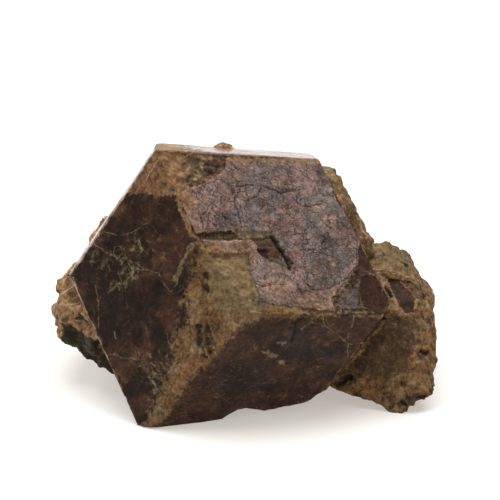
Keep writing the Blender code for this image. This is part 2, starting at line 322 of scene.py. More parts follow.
def break_plane():
    first, last = (sighted(square, face_plane(face)) for face, square in BREAK_SPOTS)
    fall = math.radians(BREAK_FALL_DEG)
    outward = (last - first).cross(Vector((0, math.cos(fall), -math.sin(fall)))).normalized()
    return first, outward if outward.z < 0 else -outward


def garnet_planes():
    planes = {name: face_plane(name) for name in FACES}
    planes["band"] = band_plane()
    planes["break"] = break_plane()
    planes["ground"] = (Vector((0, 0, 0)), Vector((0, 0, -1)))
    return planes


# ---------------------------------------------------------------- fields over the surface


def ease(value, low, high):
    """Rises smoothly from 0 at low to 1 at high."""
    t = np.clip((value - low) / (high - low), 0.0, 1.0)
    return t * t * (3.0 - 2.0 * t)


def gap_to_run(squares, start, end):
    """Distance from each square to a straight run."""
    start, along = np.array(start, float), np.array(end, float) - np.array(start, float)
    t = np.clip((squares - start) @ along / max(along @ along, 1e-9), 0.0, 1.0)
    return np.linalg.norm(squares - start - t[:, None] * along, axis=1)


def gap_to_line(squares, line):
    return np.min([gap_to_run(squares, a, b) for a, b in zip(line, line[1:])], axis=0)


def depth_inside(squares, outline):
    """Distance inside an outline, negative outside it."""
    ring = list(outline) + [outline[0]]
    gap = gap_to_line(squares, ring)
    within = np.zeros(len(squares), bool)
    x, y = squares[:, 0], squares[:, 1]
    for a, b in zip(ring, ring[1:]):
        if a[1] != b[1]:
            cross = a[0] + (y - a[1]) * (b[0] - a[0]) / (b[1] - a[1])
            within ^= ((a[1] > y) != (b[1] > y)) & (x < cross)
    return np.where(within, gap, -gap)


def grain(places, size, seed, octaves=3, stretch=(1, 1, 1)):
    """Smooth noise from about -1 to 1, in bumps of a size in millimetres."""
    shift = Vector((seed, seed * 0.7, -seed))
    scaled = places / (np.array(stretch) * size * MM)
    return np.array([noise.fractal(Vector(p) + shift, 1.0, 2.0, octaves) for p in scaled])


def cells(places, size, seed):
    """Irregular chunks: nearness to a chunk's border, a number for it, and its slanted top."""
    shift = Vector((seed, -seed, seed * 0.3))
    near, label, slant = (np.empty(len(places)) for _ in range(3))
    for index, p in enumerate(places / (size * MM)):
        spot = Vector(p) + shift
        gaps, seeds = noise.voronoi(spot)
        near[index] = gaps[1] - gaps[0]
        heart = seeds[0]
        label[index] = (heart.x * 12.9898 + heart.y * 78.233 + heart.z * 37.719) % 1.0
        lean = Vector([(label[index] * k) % 1.0 - 0.5 for k in (7.0, 13.0, 29.0)])
        slant[index] = (spot - heart).dot(lean)
    return near, label, slant


def most(*fields):
    return np.maximum.reduce(fields)


def lines_over(squares, lines, soften=1.0):
    """How strongly any of the lines covers each square, from 0 to 1."""
    cover = np.zeros(len(squares))
    for line, width in lines:
        gap = gap_to_line(squares, line)
        cover = np.maximum(cover, 1.0 - ease(gap, width * 0.25, width * 0.5 + soften))
    return cover


def wobbles(places):
    """Two sideways shifts for each place, broad and fine together."""
    return np.stack(
        [grain(places, 1.1, seed, 5) + 0.5 * grain(places, 0.3, seed + 1, 2) for seed in (7.0, 19.0)],
        axis=1,
    )


# ---------------------------------------------------------------- mesh work

CUT_SLACK = 1e-7  # a corner this near a cutting plane lies on it, in metres
SCORE_SLACK = 1e-6
SMALLEST_EDGE = 0.01 * MM
GROUND_SLACK = 1e-6
HOLLOW_MIDDLE = (0.8, -0.3)  # of the underside's hollow, with its reach and rise, in millimetres
HOLLOW_REACH = (16.0, 11.2)
HOLLOW_RISE = 2.2


def cut_away(bm, point, outward):
    """Cuts off what lies beyond a plane and closes the cut with one flat face."""
    geometry = bm.verts[:] + bm.edges[:] + bm.faces[:]
    cut = bmesh.ops.bisect_plane(
        bm, geom=geometry, dist=CUT_SLACK, plane_co=point, plane_no=outward, clear_outer=True
    )
    edges = [e for e in cut["geom_cut"] if isinstance(e, bmesh.types.BMEdge)]
    bmesh.ops.edgeloop_fill(bm, edges=edges)


def slice_up(bm, step):
    """Scores the whole surface into even cells, so that the finer mesh is even too."""
    low = np.min([v.co for v in bm.verts], axis=0)
    high = np.max([v.co for v in bm.verts], axis=0)
    for axis in range(3):
        outward = Vector([float(i == axis) for i in range(3)])
        for place in np.arange(low[axis] + step * 0.4, high[axis], step):
            geometry = bm.verts[:] + bm.edges[:] + bm.faces[:]
            bmesh.ops.bisect_plane(
                bm, geom=geometry, dist=SCORE_SLACK, plane_co=outward * float(place), plane_no=outward
            )
    bmesh.ops.triangulate(bm, faces=bm.faces[:])


def places_of(bm):
    return np.array([v.co[:] for v in bm.verts])


def refine(bm, size_at, rounds=12):
    """Splits edges until each is no longer than the size wanted at its middle."""
    for _ in range(rounds):
        bm.verts.index_update()
        places = places_of(bm)
        ends = np.array([(e.verts[0].index, e.verts[1].index) for e in bm.edges])
        a, b = places[ends[:, 0]], places[ends[:, 1]]
        length = np.linalg.norm(a - b, axis=1)
        too_long = np.nonzero(length > size_at((a + b) / 2) * MM)[0]
        if len(too_long) == 0:
            break
        bm.edges.ensure_lookup_table()
        bmesh.ops.subdivide_edges(
            bm, edges=[bm.edges[i] for i in too_long], cuts=1, use_single_edge=True
        )
        bmesh.ops.triangulate(bm, faces=[f for f in bm.faces if len(f.verts) > 3])


def finished(name, bm, masks, material):
    """Makes the piece's object, with its masks as attributes, and ties it to the frame."""
    for vert in bm.verts:
        vert.co = [min(max(value, low), high) for value, low, high in zip(vert.co, *CAD_BOX)]
    bmesh.ops.recalc_face_normals(bm, faces=bm.faces[:])
    mesh = bpy.data.meshes.new(name)
    bm.to_mesh(mesh)
    bm.free()
    for label, values in masks.items():
        layer = mesh.attributes.new(label, "FLOAT", "POINT")
        layer.data.foreach_set("value", np.clip(values, 0.0, 1.0).astype(np.float32))
    mesh.polygons.foreach_set("use_smooth", [True] * len(mesh.polygons))
    mesh.materials.append(material)
    piece = bpy.data.objects.new(name, mesh)
    bpy.context.scene.collection.objects.link(piece)
    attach(piece, "root")
    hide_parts(NODE)
    return piece


def set_places(bm, places):
    for vert, place in zip(bm.verts, places):
        vert.co = place


def hollow_rise(places):
    """How far the underside is hollowed up at each place that lies on the ground."""
    reach = np.hypot(*((places[:, i] / MM - HOLLOW_MIDDLE[i]) / HOLLOW_REACH[i] for i in (0, 1)))
    rise = HOLLOW_RISE * MM * ease(1.0 - reach, 0.0, 0.6)
    return np.where(np.abs(places[:, 2]) < GROUND_SLACK, rise, 0.0)


# ---------------------------------------------------------------- the large garnet

EDGE_ROUND = 0.18 * MM
SCORE_STEP = 3.2 * MM
EDGE_UNSEEN = 1.6  # longest edge of the mesh on each kind of ground, in millimetres
EDGE_SEEN = 0.5
EDGE_FRONT = 0.45
EDGE_TEXTURED = 0.30
EDGE_AT_LINES = 0.19
FAR_AWAY = 99.0
BLEND_DEPTH = 0.15  # over which one face's relief passes into the next, in millimetres
FINE_LINES = PLATE_CRACKS + BLACK_MARKS + FACE_VEINS + LOWER_VEINS + LOWER_FLECKS + LOWER_CRACK
STEEP_OUTLINES = (PLATE, PIT, SLOT_UNDER_PLATE)

# Depths of what is sunk into the faces and heights of what stands up, in millimetres.
LEDGE_DROP = 0.62
PATCH_DROP = 0.6
SCUFF_DROP = 0.3
PIT_DROP = 0.42
HOLE_DROP = 0.35
PIT_CRACK_DROP = 0.3
STRIP_DROP = 0.25
CRACK_DROP = 0.14
STAIN_DROP = 0.22
LOWER_CRACK_DROP = 0.15
CHIP_DROP = 0.22
SLOT_RISE = 0.22
SHELF_RISE = 0.42
SEAM_RISE = 0.12


def slack_to(places, planes):
    """Depth of each place under each plane, in millimetres."""
    return np.stack([(np.array(p) - places) @ np.array(n) for p, n in planes], axis=1) / MM


def facing(places, outward):
    sight = np.array(EYE) - places
    sight /= np.linalg.norm(sight, axis=1)[:, None]
    return np.sum(sight * outward, axis=1)


def garnet_block(planes):
    bm = bmesh.new()
    bmesh.ops.create_cube(bm, size=BLOCK_SIZE, matrix=Matrix.Translation(GARNET_CENTRE))
    for plane in planes.values():
        cut_away(bm, *plane)
    bmesh.ops.remove_doubles(bm, verts=bm.verts[:], dist=SMALLEST_EDGE)
    bmesh.ops.bevel(
        bm, geom=bm.edges[:], offset=EDGE_ROUND, offset_type="OFFSET", segments=2, profile=0.5,
        affect="EDGES", material=-1,
    )
    slice_up(bm, SCORE_STEP)
    bmesh.ops.dissolve_degenerate(bm, edges=bm.edges[:], dist=SMALLEST_EDGE)
    return bm


def garnet_mesh_size(planes):
    flat = list(planes.values())
    outward = np.array([n for _, n in flat])

    def size_at(places):
        own = np.argmin(slack_to(places, flat), axis=1)
        turned = facing(places, outward[own])
        size = np.where(turned > 0.02, EDGE_SEEN, EDGE_UNSEEN)
        front = np.nonzero(turned > 0.3)[0]
        squares = on_grid(places[front])
        textured = np.maximum(depth_inside(squares, PLATE), depth_inside(squares, TAN_GROUND))
        textured = np.maximum(textured, depth_inside(squares, PATCH))
        near = np.full(len(front), FAR_AWAY)
        for line, width in FINE_LINES:
            near = np.minimum(near, gap_to_line(squares, line) - width * 0.5)
        for outline in STEEP_OUTLINES:
            near = np.minimum(near, np.abs(depth_inside(squares, outline)) - 0.5)
        fine = np.where(textured > -2.0, EDGE_TEXTURED, EDGE_FRONT)
        size[front] = np.where(near < 0.8, EDGE_AT_LINES, fine)
        return size

    return size_at


def face_shares(slack, planes):
    """How far each place belongs to each plane, and the direction it faces."""
    weight = np.exp(-np.maximum(slack, 0.0) / BLEND_DEPTH) + 1e-12
    weight /= weight.sum(axis=1)[:, None]
    on = {name: weight[:, index] for index, name in enumerate(planes)}
    outward = weight @ np.array([n for _, n in planes.values()])
    return on, outward / np.linalg.norm(outward, axis=1)[:, None]


def region(g, outline, wander=1.0, soft=0.8):
    """How far each place lies within a ragged outline on the drawing grid, from 0 to 1."""
    return ease(depth_inside(g.squares + g.wobble * wander, outline), -soft, soft)


def drawn(g, lines, wander, soften, broken=None):
    """How strongly lines on the drawing grid cover each place of the front, from 0 to 1."""
    cover = lines_over(g.squares + g.wobble * wander, lines, soften) * g.front
    return cover if broken is None else cover * ease(grain(g.places, 1.6, broken), -0.8, 0.1)


def garnet_grounds(places, planes):
    """Gathers the garnet's faces, grains and grounds, each a field with one value for each place."""
    slack = slack_to(places, list(planes.values()))
    on, outward = face_shares(slack, planes)
    g = SimpleNamespace(places=places, on=on, outward=outward, depth=dict(zip(planes, slack.T)))
    g.edge_depth = np.sort(slack[:, : len(FACES) + 1], axis=1)[:, 1]
    g.upper, g.left, g.lower, g.band, g.top = (
        on[n] for n in ("front upper", "front left", "front lower", "band", "top")
    )
    g.front = ease(g.upper + g.left + g.lower + g.band, 0.3, 0.7)
    g.back = 1 - np.clip(g.front + g.top, 0, 1)
    g.squares = on_grid(places)
    g.wobble = wobbles(places)

    g.soft_bumps = grain(g.places, 4.0, 3.0)
    g.small_bumps = grain(g.places, 1.0, 5.0, 4)
    g.fibre = grain(g.places, 0.9, 11.0, 4, stretch=(1, 1.6, 4.0))
    g.grit = grain(g.places, 0.45, 13.0, 3)

    g.plate = region(g, PLATE, 1.4, 0.5) * ease(g.upper, 0.3, 0.7)
    g.ledge = region(g, LEDGE, 1.5) * g.upper * (1 - g.plate)
    g.shelf = region(g, SHELF, 1.5) * g.upper * (1 - g.plate)
    g.slot = region(g, SLOT_UNDER_PLATE, 0.8, 0.5) * g.upper * (1 - g.plate)
    g.pit = region(g, PIT, 1.2, 0.5) * g.upper
    g.patch = region(g, PATCH, 3.0, 1.0) * g.upper * (1 - g.plate)
    g.scuff = region(g, SCUFF, 4.0, 1.5) * g.left
    g.tan_ground = region(g, TAN_GROUND, 5.0, 7.0) * g.front * (1 - g.plate)
    g.shallow = ease(g.squares[:, 0], 229, 241)
    g.block = region(g, PIT_BLOCK, 1.0, 0.8) * g.upper
    g.hole = region(g, PIT_HOLE, 1.0, 0.8) * g.upper
    g.corner = region(g, CORNER_GROUND, 1.5, 0.8) * g.upper
    facets = [depth_inside(g.squares + 1.6 * g.wobble, o) for o in CORNER_FACETS]
    g.corner_faces = ease(np.max(facets, axis=0), -2.2, -0.4) * g.corner
    g.strip = region(g, ROUGH_STRIP, 1.2, 0.8) * g.upper
    g.upright = grain(g.places, 0.42, 91.0, 3, stretch=(1, 2.5, 2.5))
    g.panel = region(g, FLOOR_PANEL, 1.0, 1.5) * g.upper
    return g


def add_marks(g):
    """Adds the fields of the crazing, cracks, stains, veins and tints that lie on the grounds, with the
    painted highlights along the edges and the painted shade at the panel's step.
    """
    bent = g.places + 0.4 * MM * np.stack((g.wobble[:, 0], g.soft_bumps, g.wobble[:, 1]), axis=1)
    near_cell, g.cell_tone, _ = cells(bent, 1.9, 2.0)
    near_small = cells(bent, 0.8, 4.0)[0]
    g.chunk = cells(bent, 1.5, 8.0)[2]
    g.wide_craze = (1 - ease(near_cell, 0.02, 0.09)) * ease(grain(g.places, 2.5, 23.0), -0.3, 0.3)
    g.fine_craze = (1 - ease(near_small, 0.03, 0.14)) * ease(grain(g.places, 2.0, 29.0), 0.0, 0.5)
    g.cracks = drawn(g, PLATE_CRACKS, 1.2, 0.5, 71.0)
    g.pit_crack = drawn(g, PIT_CRACK, 1.0, 1.0)
    g.top_lines = lines_over(g.squares + 0.4 * g.wobble, TOP_LINES, 0.6) * g.top
    g.black = drawn(g, BLACK_MARKS, 1.5, 1.6) * ease(g.upright + grain(g.places, 0.7, 73.0), -1.15, 0.0)
    cluster = np.maximum(region(g, MARK_CLUSTER, 3.0, 3.0), 0.8 * region(g, SMUDGE, 2.0, 3.0)) * g.band
    g.black = np.maximum(g.black, 0.8 * cluster * ease(g.upright, -0.3, 0.25))
    g.bare = region(g, BARE_PATCH, 3.0, 3.0) * g.upper * (1 - g.plate)
    g.veins = drawn(g, FACE_VEINS + LOWER_VEINS, 1.0, 0.7, 61.0)
    g.flecks = drawn(g, LOWER_FLECKS, 3.0, 1.2)
    # Painted shade along the step at the plate's lower lobe.
    g.panel_edge = drawn(g, PANEL_STEP_SHADE, 2.0, 2.0)
    g.seams = drawn(g, CORNER_SEAMS, 1.6, 1.0, 87.0)
    g.streaked = region(g, STREAKED_FACET, 2.0, 1.5) * g.upper * (1 - g.plate)
    g.purple = np.max([region(g, o, 6.0, 9.0) for o in PURPLE_PARTS], axis=0) * g.lower
    g.pale = drawn(g, PALE_BANDS, 2.5, 1.5)
    g.strips = drawn(g, EDGE_STRIPS, 2.5, 2.0)
    # Painted highlight along the edges, broken by noise, kept to faces turned toward the eye and to places
    # near an edge.
    g.worn = lines_over(g.squares + 0.8 * g.wobble, EDGE_HIGHLIGHTS, 1.0)
    g.worn *= ease(grain(g.places, 2.0, 79.0), -1.1, -0.1) * ease(facing(g.places, g.outward), -0.05, 0.05)
    g.worn *= 1 - ease(g.edge_depth, 1.5, 4.0)
    g.worn = np.maximum(g.worn, drawn(g, HIGHLIGHT_LINES, 0.8, 1.0))
    g.blush = np.max([region(g, o, 3.0, 4.0) for o in BLUSH], axis=0) * g.plate
    g.lower_crack = drawn(g, LOWER_CRACK, 1.2, 0.9)
    g.haze = np.maximum(region(g, HAZE, 6.0, 8.0), region(g, LOWER_HAZE, 6.0, 7.0)) * g.left


def garnet_height(g):
    """Height over the flat faces, in millimetres."""
    behind = g.depth["front upper"]
    fold = np.exp(-(np.abs(behind) + np.abs(g.depth["band"])) / 1.3)
    terraces = np.round(grain(g.places, 3.0, 31.0, 2, stretch=(5.0, 1.0, 1.0)) * 5) / 5

    height = 0.02 * g.soft_bumps - 0.4 * fold
    height += g.plate * (0.05 * g.soft_bumps + 0.03 * g.small_bumps + 0.05 * (g.cell_tone - 0.5))
    height -= g.plate * (0.05 * g.wide_craze + 0.02 * g.fine_craze)
    height -= g.plate * CRACK_DROP * g.cracks + g.strip * (STRIP_DROP - 0.15 * g.small_bumps)
    height -= g.ledge * (LEDGE_DROP - 0.47 * g.shallow - 0.06 * g.fibre - 0.12 * g.small_bumps)
    height += SLOT_RISE * g.slot + SHELF_RISE * g.shelf
    height += g.panel * g.ledge * 0.12
    height -= g.pit * (PIT_DROP + 0.15 * g.small_bumps - 0.3 * g.chunk)
    height -= HOLE_DROP * g.hole + PIT_CRACK_DROP * g.pit_crack
    height -= g.patch * (PATCH_DROP - 0.35 * g.chunk - 0.15 * g.small_bumps - 0.06 * g.grit)
    height -= g.scuff * (SCUFF_DROP - 0.2 * g.chunk - 0.1 * g.small_bumps - 0.04 * g.grit)
    height += g.band * (0.12 * g.fibre + 0.18 * g.small_bumps + 0.06 * g.grit + 0.15 * g.chunk)
    height -= g.tan_ground * (1 - g.band) * (0.05 - 0.06 * g.small_bumps - 0.05 * g.grit)
    height -= STAIN_DROP * g.black + LOWER_CRACK_DROP * g.lower_crack + 0.04 * g.veins * (1 - g.band)
    height -= g.corner * (1 - g.corner_faces) * (0.02 - 0.14 * g.small_bumps - 0.08 * g.grit)
    height += SEAM_RISE * g.seams - 0.06 * g.corner_faces
    height += g.top * (0.08 * terraces + 0.02 * g.small_bumps + 0.036 * np.clip(behind, 0, 11))
    height += g.back * (0.06 * terraces + 0.06 * g.soft_bumps + 0.03 * g.small_bumps)
    height += g.on["break"] * (0.35 * grain(g.places, 3.0, 37.0) + 0.15 * g.small_bumps + 0.3 * g.chunk)
    chips = ease(0.7 - g.edge_depth, 0.0, 0.7) * ease(grain(g.places, 1.4, 41.0), 0.05, 0.5)
    height -= CHIP_DROP * chips * (1 - g.on["ground"]) * (1 - g.plate)
    return height


def garnet_masks(g):
    """How strongly each material and mark covers each place, from 0 to 1, with painted highlights and painted
    shade among them.
    """
    rim = g.plate * (1 - ease(depth_inside(g.squares + 2 * g.wobble, PLATE), 0.5, 3.5))
    rim *= ease(grain(g.places, 2.5, 67.0) + (230 - g.squares[:, 0]) / 60.0, -0.3, 0.4)
    rim = np.maximum(rim, g.plate * g.strips * 0.8)
    dusty = ease(grain(g.places, 5.0, 43.0) + 0.6 * g.small_bumps, 0.0, 0.7)
    bright = region(g, BRIGHT_TOP, 2.0, 1.0) * g.top
    tan = most(
        g.tan_ground, g.ledge * 0.9, g.patch * 0.85, g.scuff * 0.8, g.strips * 0.9, rim * 0.75,
        g.on["break"], (g.top - bright) * 0.8, g.back * dusty * 0.7,
        (1 - ease(g.edge_depth, 0.12, 0.4)) * (0.35 + 0.5 * g.wobble[:, 1]),
        g.corner * (1 - g.corner_faces) * (0.4 + 0.4 * g.wobble[:, 0]),
    )
    tan = tan * (1 - g.plate * (1 - rim)) * (1 - g.shelf * (0.6 + 0.3 * ease(g.upright, -0.4, 0.4)))
    tan *= 1 - 0.65 * g.slot
    tan *= 1 - 0.75 * g.bare
    # The tan line along the lower right edge is a painted highlight.
    tan = most(tan, 0.7 * g.strip, 0.6 * drawn(g, CORNER_EDGE_HIGHLIGHT, 0.6, 0.7, 89.0))
    moss = most(
        g.patch * ease(g.soft_bumps + 0.7 * g.small_bumps + (g.squares[:, 0] - 190) / 50, -0.1, 0.7) * 0.5,
        g.ledge * ease(grain(g.places, 3.0, 47.0), 0.15, 0.6) * 0.6,
        0.55 * g.strip, 0.3 * g.slot,
        0.7 * g.pit * ease(g.squares[:, 1] - 258 + 2 * g.wobble[:, 0], -3, 4),
        0.65 * region(g, PATCH_DARK, 3.0, 3.0) * g.upper * (1 - g.plate) * ease(g.small_bumps, -0.6, 0.3),
        g.tan_ground * ease(g.fibre + (200 - g.squares[:, 0]) / 60, 0.2, 0.7) * 0.5,
    )
    moss *= 1 - 0.6 * g.bare
    edge_glow = (1 - ease(g.edge_depth, 0.8, 4.0)) * ease(grain(g.places, 5.0, 83.0), -0.5, 0.4)
    return {
        "plate": most(g.plate * (1 - g.corner), 0.62 * g.shelf, 0.52 * g.streaked),
        "tan": tan,
        "moss": moss,
        # Dark lines and marks: real cracks, growth lines, crazing and black stains, with painted shade in the
        # pit's hole, in the slot under the plate and along the panel's step.
        "cracks_and_shade": most(
            g.cracks * 0.85, g.top_lines * 0.55, g.black, g.panel_edge * 0.35, g.plate * g.wide_craze * 0.3,
            g.lower_crack, g.pit_crack, g.hole, g.pit * 0.25 * ease(g.small_bumps, 0, 0.5), g.slot * 0.1,
            0.4 * g.shelf * ease(g.upright, -0.3, 0.6),
        ),
        "vein": most(
            g.veins * 0.85, g.flecks * 0.7, g.seams * 0.55, 0.7 * g.streaked * ease(g.upright, 0.5, 0.8)
        ),
        "panel": region(g, FLOOR_GROUND, 3.0, 8.0) * g.front * (1 - g.plate) * (1 - 0.7 * g.shelf),
        "left part": ease(250 - g.squares[:, 0] + 12 * g.soft_bumps, -10, 25),
        "worn": g.worn,
        "haze": g.haze * ease(g.small_bumps + g.soft_bumps, -0.2, 0.8),
        "patch": np.maximum(g.patch * (1 - 0.75 * g.bare), 0.72 * g.scuff),
        "pale": g.pale,
        "pit": np.maximum(g.block, g.pit * ease(g.soft_bumps, -0.3, 0.3) * 0.6),
        "corner": g.corner_faces * (1 - 0.65 * g.streaked),
        "rim": most(
            rim * 0.8, g.strips * 0.5, 0.75 * g.plate * region(g, PLATE_TIP, 2.0, 3.0),
            0.75 * g.shelf * ease(222 - g.squares[:, 0], -8, 8),
            g.patch * 0.9 * ease(190 - g.squares[:, 0] + 8 * g.soft_bumps, -8, 12),
            g.scuff * ease(g.small_bumps, -0.8, 0.3),
            0.9 * region(g, FOOT_STAIN, 5.0, 5.0) * (g.band + g.left),
        ),
        "cell": g.cell_tone,
        "top": np.maximum(g.top, 0.9 * g.on["upper left"]),
        "blush": np.maximum(g.blush * ease(g.small_bumps + g.soft_bumps, -1.2, 0.4), g.shelf),
        "red": most(
            g.left * (0.14 + 0.42 * ease(260 - g.squares[:, 1], -20, 90)),
            (g.left + g.lower) * edge_glow * 0.75, 0.55 * region(g, RED_CORNER, 4.0, 7.0) * g.lower,
            g.lower * 0.42 * (1 - g.purple), 0.8 * g.bare,
        ),
        "purple": g.purple,
        "lower": g.lower,
    }


def broken_rim(places, planes):
    """How far the broken lower edge is bitten up or left hanging, in millimetres."""
    squares = on_grid(places)
    edge, rim = (np.interp(squares[:, 0], *np.array(run).T) for run in (LOWER_EDGE, BROKEN_EDGE))
    depth = slack_to(places, [planes["break"], planes["ground"]]).min(axis=1)
    near = np.exp(-np.maximum(depth, 0.0) / 1.8) * (1 - ease(places[:, 1] / MM, -12.0, 2.0))
    return near * (edge - rim) * MM_PER_SQUARE / math.cos(RISE)


def main_garnet():
    planes = garnet_planes()
    bm = garnet_block(planes)
    refine(bm, garnet_mesh_size(planes))
    places = places_of(bm)
    g = garnet_grounds(places, planes)
    add_marks(g)
    moved = places + g.outward * garnet_height(g)[:, None] * MM
    moved[:, 2] = np.where(places[:, 2] < GROUND_SLACK, hollow_rise(places), moved[:, 2])
    moved[:, 2] = np.maximum(moved[:, 2] + broken_rim(places, planes) * MM, 0.0)
    set_places(bm, moved)
    return finished("main_garnet", bm, garnet_masks(g), garnet_finish())


# ---------------------------------------------------------------- what has grown round it


def held_within(out, limits):
    """Draws places back toward the lump's centre until they are inside every limit."""
    for direction, distance in limits:
        reach = out @ np.array(Vector(direction).normalized()) / MM
        over = reach > distance
        out = np.where(over[:, None], out * (distance / np.where(over, reach, 1.0))[:, None], out)
    return out


def add_lump(bm, centre, radii, faces=(), blunt=(), bumpy=0.1, bump=6.0, seed=0.0, detail=6, grit=0.1):
    """Adds a rough mass, as large as the solid's own, with grit over it.

    Faces stay flat, and blunt facets are as rough as the rest. Each is a direction and its
    distance from the centre in millimetres.
    """
    made = bmesh.ops.create_icosphere(bm, subdivisions=detail, radius=1.0)["verts"]
    out = np.array([v.co[:] for v in made]) * np.array(radii) * MM
    out = held_within(out, blunt)
    out *= (1 + bumpy * grain(out, bump, seed))[:, None]
    reach = np.linalg.norm(out, axis=1)[:, None]
    rubble = 1.6 * grain(out, 1.6, seed + 1.0, 4) + 0.7 * grain(out, 0.5, seed + 2.0, 3)
    out *= 1 + grit * MM * rubble[:, None] / reach
    out = held_within(out, faces)
    for vert, place in zip(made, out + np.array(centre) * MM):
        vert.co = place


def stand_on_ground(bm):
    """Cuts the lumps off flat at the ground."""
    cut_away(bm, Vector((0, 0, 0)), Vector((0, 0, -1)))
    bmesh.ops.triangulate(bm, faces=[f for f in bm.faces if len(f.verts) > 4])


def surface_fields(bm):
    """Places of a piece's corners, their outward directions, grid squares and sideways shifts."""
    bm.normal_update()
    places = places_of(bm)
    outward = np.array([v.normal[:] for v in bm.verts])
    squares = on_grid(places)
    return places, outward, squares, wobbles(places)


RED_FACETS = (
    ((387, 278), (398, 280), (415, 298), (414, 313), (405, 314), (394, 295)),
    ((399, 280), (415, 283), (427, 297), (424, 302), (416, 298)),
)
# Painted light: the facet that faces up and right is made paler, as where the light falls on it.
PAINTED_LIT_FACET = ((398, 278), (413, 280), (426, 291), (428, 301), (416, 300), (406, 290))
BROWN_SIDE = (
    (391, 312), (404, 318), (416, 315), (416, 345), (408, 368), (380, 378), (340, 380), (365, 345),
)
TAN_SEAMS = (
    (((352, 269), (366, 266), (380, 271), (400, 275), (416, 282)), 5.0),
    (((377, 276), (386, 285), (392, 300), (396, 309)), 7.0),
    (((392, 307), (372, 335), (352, 358), (335, 376)), 1.8),
)
DARK_FOOT = ((400, 400), (412, 394), (424, 388), (430, 398), (420, 407), (408, 413), (396, 410))
# Dark spots; the run at the lower left, beside the main crystal's lower right edge, is painted shade in the
# crevice between the two crystals.
DARK_SPOTS_AND_CREVICE_SHADE = (
    (((423, 352), (426, 354)), 3.5),
    (((402, 402), (408, 405)), 4.0),
    (((386, 288), (391, 299)), 1.8),
    (((338, 384), (350, 377)), 5.0),
    (((404, 262), (409, 266)), 2.5),
    (((380, 318), (386, 317)), 1.2),
    (((418, 400), (428, 396)), 4.0),
)


def side_garnet():
    bm = bmesh.new()
    add_lump(
        bm, (18.8, -0.8, 11.0), (17.5, 21.5, 19.0), bumpy=0.09, bump=5.0, seed=3.0, detail=7,
        grit=0.07,
        faces=(
            ((-0.28, -0.92, 0.28), 10.0),
            ((0.55, -0.75, 0.35), 13.2),
            ((0.84, 0.0, 0.54), 10.5),
            ((-0.55, -0.7, 0.45), 8.6),
        ),
        blunt=(
            ((0.0, -0.45, 0.89), 8.7),
            ((0.0, 0.5, 0.87), 10.9),
            ((0.78, 0.0, 0.63), 9.9),
            ((1.0, -0.05, 0.0), 11.0),
            ((0.74, 0.0, -0.67), 12.6),
            ((0.7, 0.7, 0.1), 13.0),
            ((0.0, 1.0, 0.1), 12.0),
            ((-0.26, 0.0, -0.965), 9.4),
        ),
    )
    stand_on_ground(bm)
    places, outward, squares, wobble = surface_fields(bm)
    seen = ease(facing(places, outward), 0.0, 0.2)

    def within(outline, wander, low, high):
        return ease(depth_inside(squares + wander * wobble, outline), low, high)

    red = most(*(within(outline, 1, -0.5, 1.0) for outline in RED_FACETS))
    brown = within(BROWN_SIDE, 6, -2.0, 4.0)
    seam = lines_over(squares + 2.5 * wobble, TAN_SEAMS, 2.0)
    dark = lines_over(squares + 2 * wobble, DARK_SPOTS_AND_CREVICE_SHADE, 1.5) * seen
    slant = cells(places + 0.3 * MM * outward * wobble[:, :1], 2.2, 6.0)[2]
    rugged = 1 - seen * np.maximum(red, 0.6 * brown)
    height = seen * (0.3 * seam - 0.2 * red - 0.5 * dark)
    height += rugged * (0.10 * grain(places, 0.9, 57.0, 4) + 0.2 * slant)
    masks = {
        "red": red * seen,
        "brown": brown * seen,
        "seam": seam * seen,
        "painted_light": within(PAINTED_LIT_FACET, 2, -2.0, 3.0) * seen,
        "dark": np.maximum(dark, 0.5 * seen * within(DARK_FOOT, 3, -2, 3)),
        "olive": ease(276 - squares[:, 1] + 4 * wobble[:, 0], -4, 8),
    }
    places = places + outward * height[:, None] * MM
    places[:, 2] = np.maximum(places[:, 2], 0.0)
    set_places(bm, places)
    return finished("side_garnet", bm, masks, side_finish())


def right_growth():
    bm = bmesh.new()
    add_lump(
        bm, (7.3, 5.2, 22.0), (15.0, 12.5, 14.0), bumpy=0.12, bump=5.0, seed=61.0, grit=0.04,
        faces=((face_plane("top")[1], 11.2),),
        blunt=((face_plane("right")[1], 10.3), (face_plane("back upper")[1], 12.0)),
    )
    masks = {"olive": np.ones(len(bm.verts)), "sandy": np.full(len(bm.verts), 0.4)}
    return finished("right_growth", bm, masks, rubble_finish())


RIND_CRUMBS = (
    ((-17.8, 6.2, 19.0), 7.0), ((-25.4, 8.2, 11.6), 5.0), ((-21.2, -2.8, 6.0), 3.8),
    ((-17.7, 11.2, 12.5), 6.5),
)
MATRIX_MASSES = (
    ((-11.2, 14.7, 7.0), 8.5), ((8.8, 15.7, 8.0), 8.0), ((15.3, 11.2, 16.0), 6.5),
    ((-3.2, 17.7, 15.0), 6.0), ((1.8, 17.2, 5.0), 7.0),
)
GREEN_EDGE = ((60, 329), (70, 324), (82, 331), (96, 341), (120, 372), (130, 400), (60, 400))


